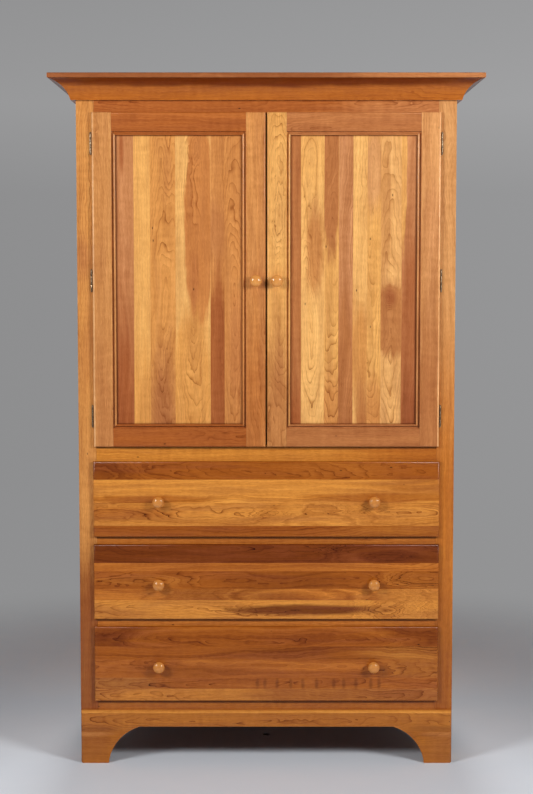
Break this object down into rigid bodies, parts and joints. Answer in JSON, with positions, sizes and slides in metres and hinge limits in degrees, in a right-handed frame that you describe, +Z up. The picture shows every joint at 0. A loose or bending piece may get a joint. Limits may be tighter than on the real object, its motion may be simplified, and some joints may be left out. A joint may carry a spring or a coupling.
{
  "type": "tv armoire",
  "caption": "Tall cherry cabinet for a television, with framed doors over drawers, a cove crown under a thin cap and an arched plinth.",
  "frame": {"origin": "on the floor, under the middle of the whole outline", "axes": "+Z up, -Y towards the front with the doors, +X to the right seen from the front"},
  "size_m": [1.168, 0.679, 1.8895],
  "materials": {
    "cherry": "satin oil-and-wax finish on cherry boards of mixed tone",
    "cherry_plywood": "cherry-faced plywood, thin satin finish",
    "turned_wood": "turned hardwood, polished satin",
    "maple": "clear satin finish on drawer walls",
    "birch_plywood": "clear-finished birch plywood",
    "hinge_bronze": "antiqued bronze plate, satin"
  },
  "bodies": {
    "case": {"side_left": "cherry", "side_right": "cherry", "top_cap": "cherry", "crown_front": "cherry", "crown_left": "cherry", "crown_right": "cherry", "stile_left": "cherry", "stile_right": "cherry", "rail_bottom": "cherry", "rail_lower": "cherry", "rail_upper": "cherry", "rail_middle": "cherry", "rail_top": "cherry", "tv_deck": "cherry", "component_shelf": "cherry", "bottom_board": "cherry", "dust_board_lower": "cherry", "dust_board_upper": "cherry", "back_panel": "cherry_plywood", "rear_rail": "cherry", "plinth_front": "cherry", "hinge_left_top_case_leaf": "hinge_bronze", "hinge_left_middle_case_leaf": "hinge_bronze", "hinge_left_bottom_case_leaf": "hinge_bronze", "hinge_right_top_case_leaf": "hinge_bronze", "hinge_right_middle_case_leaf": "hinge_bronze", "hinge_right_bottom_case_leaf": "hinge_bronze"},
    "door_left": {"door_left_hinge_stile": "cherry", "door_left_meeting_stile": "cherry", "door_left_top_rail": "cherry", "door_left_bottom_rail": "cherry", "door_left_panel": "cherry", "door_left_knob": "turned_wood", "hinge_left_top_door_leaf": "hinge_bronze", "hinge_left_middle_door_leaf": "hinge_bronze", "hinge_left_bottom_door_leaf": "hinge_bronze"},
    "door_right": {"door_right_hinge_stile": "cherry", "door_right_meeting_stile": "cherry", "door_right_top_rail": "cherry", "door_right_bottom_rail": "cherry", "door_right_panel": "cherry", "door_right_knob": "turned_wood", "hinge_right_top_door_leaf": "hinge_bronze", "hinge_right_middle_door_leaf": "hinge_bronze", "hinge_right_bottom_door_leaf": "hinge_bronze"},
    "drawer_upper": {"drawer_upper_front": "cherry", "drawer_upper_box": "maple", "drawer_upper_bottom": "birch_plywood", "drawer_upper_knob_left": "turned_wood", "drawer_upper_knob_right": "turned_wood"},
    "drawer_middle": {"drawer_middle_front": "cherry", "drawer_middle_box": "maple", "drawer_middle_bottom": "birch_plywood", "drawer_middle_knob_left": "turned_wood", "drawer_middle_knob_right": "turned_wood"},
    "drawer_lower": {"drawer_lower_front": "cherry", "drawer_lower_box": "maple", "drawer_lower_bottom": "birch_plywood", "drawer_lower_knob_left": "turned_wood", "drawer_lower_knob_right": "turned_wood"}
  },
  "joints": [
    {"name": "door_left_hinge", "type": "hinge", "parent": "case", "child": "door_left", "pos_m": [-0.4755, -0.2738, 1.336], "axis": [0, 0, -1], "range_deg": [0, 110]},
    {"name": "door_right_hinge", "type": "hinge", "parent": "case", "child": "door_right", "pos_m": [0.4755, -0.2738, 1.336], "axis": [0, 0, 1], "range_deg": [0, 110]},
    {"name": "drawer_upper_slide", "type": "slide", "parent": "case", "child": "drawer_upper", "axis": [0, -1, 0], "range_m": [0, 0.4]},
    {"name": "drawer_middle_slide", "type": "slide", "parent": "case", "child": "drawer_middle", "axis": [0, -1, 0], "range_m": [0, 0.4]},
    {"name": "drawer_lower_slide", "type": "slide", "parent": "case", "child": "drawer_lower", "axis": [0, -1, 0], "range_m": [0, 0.4]}
  ]
}
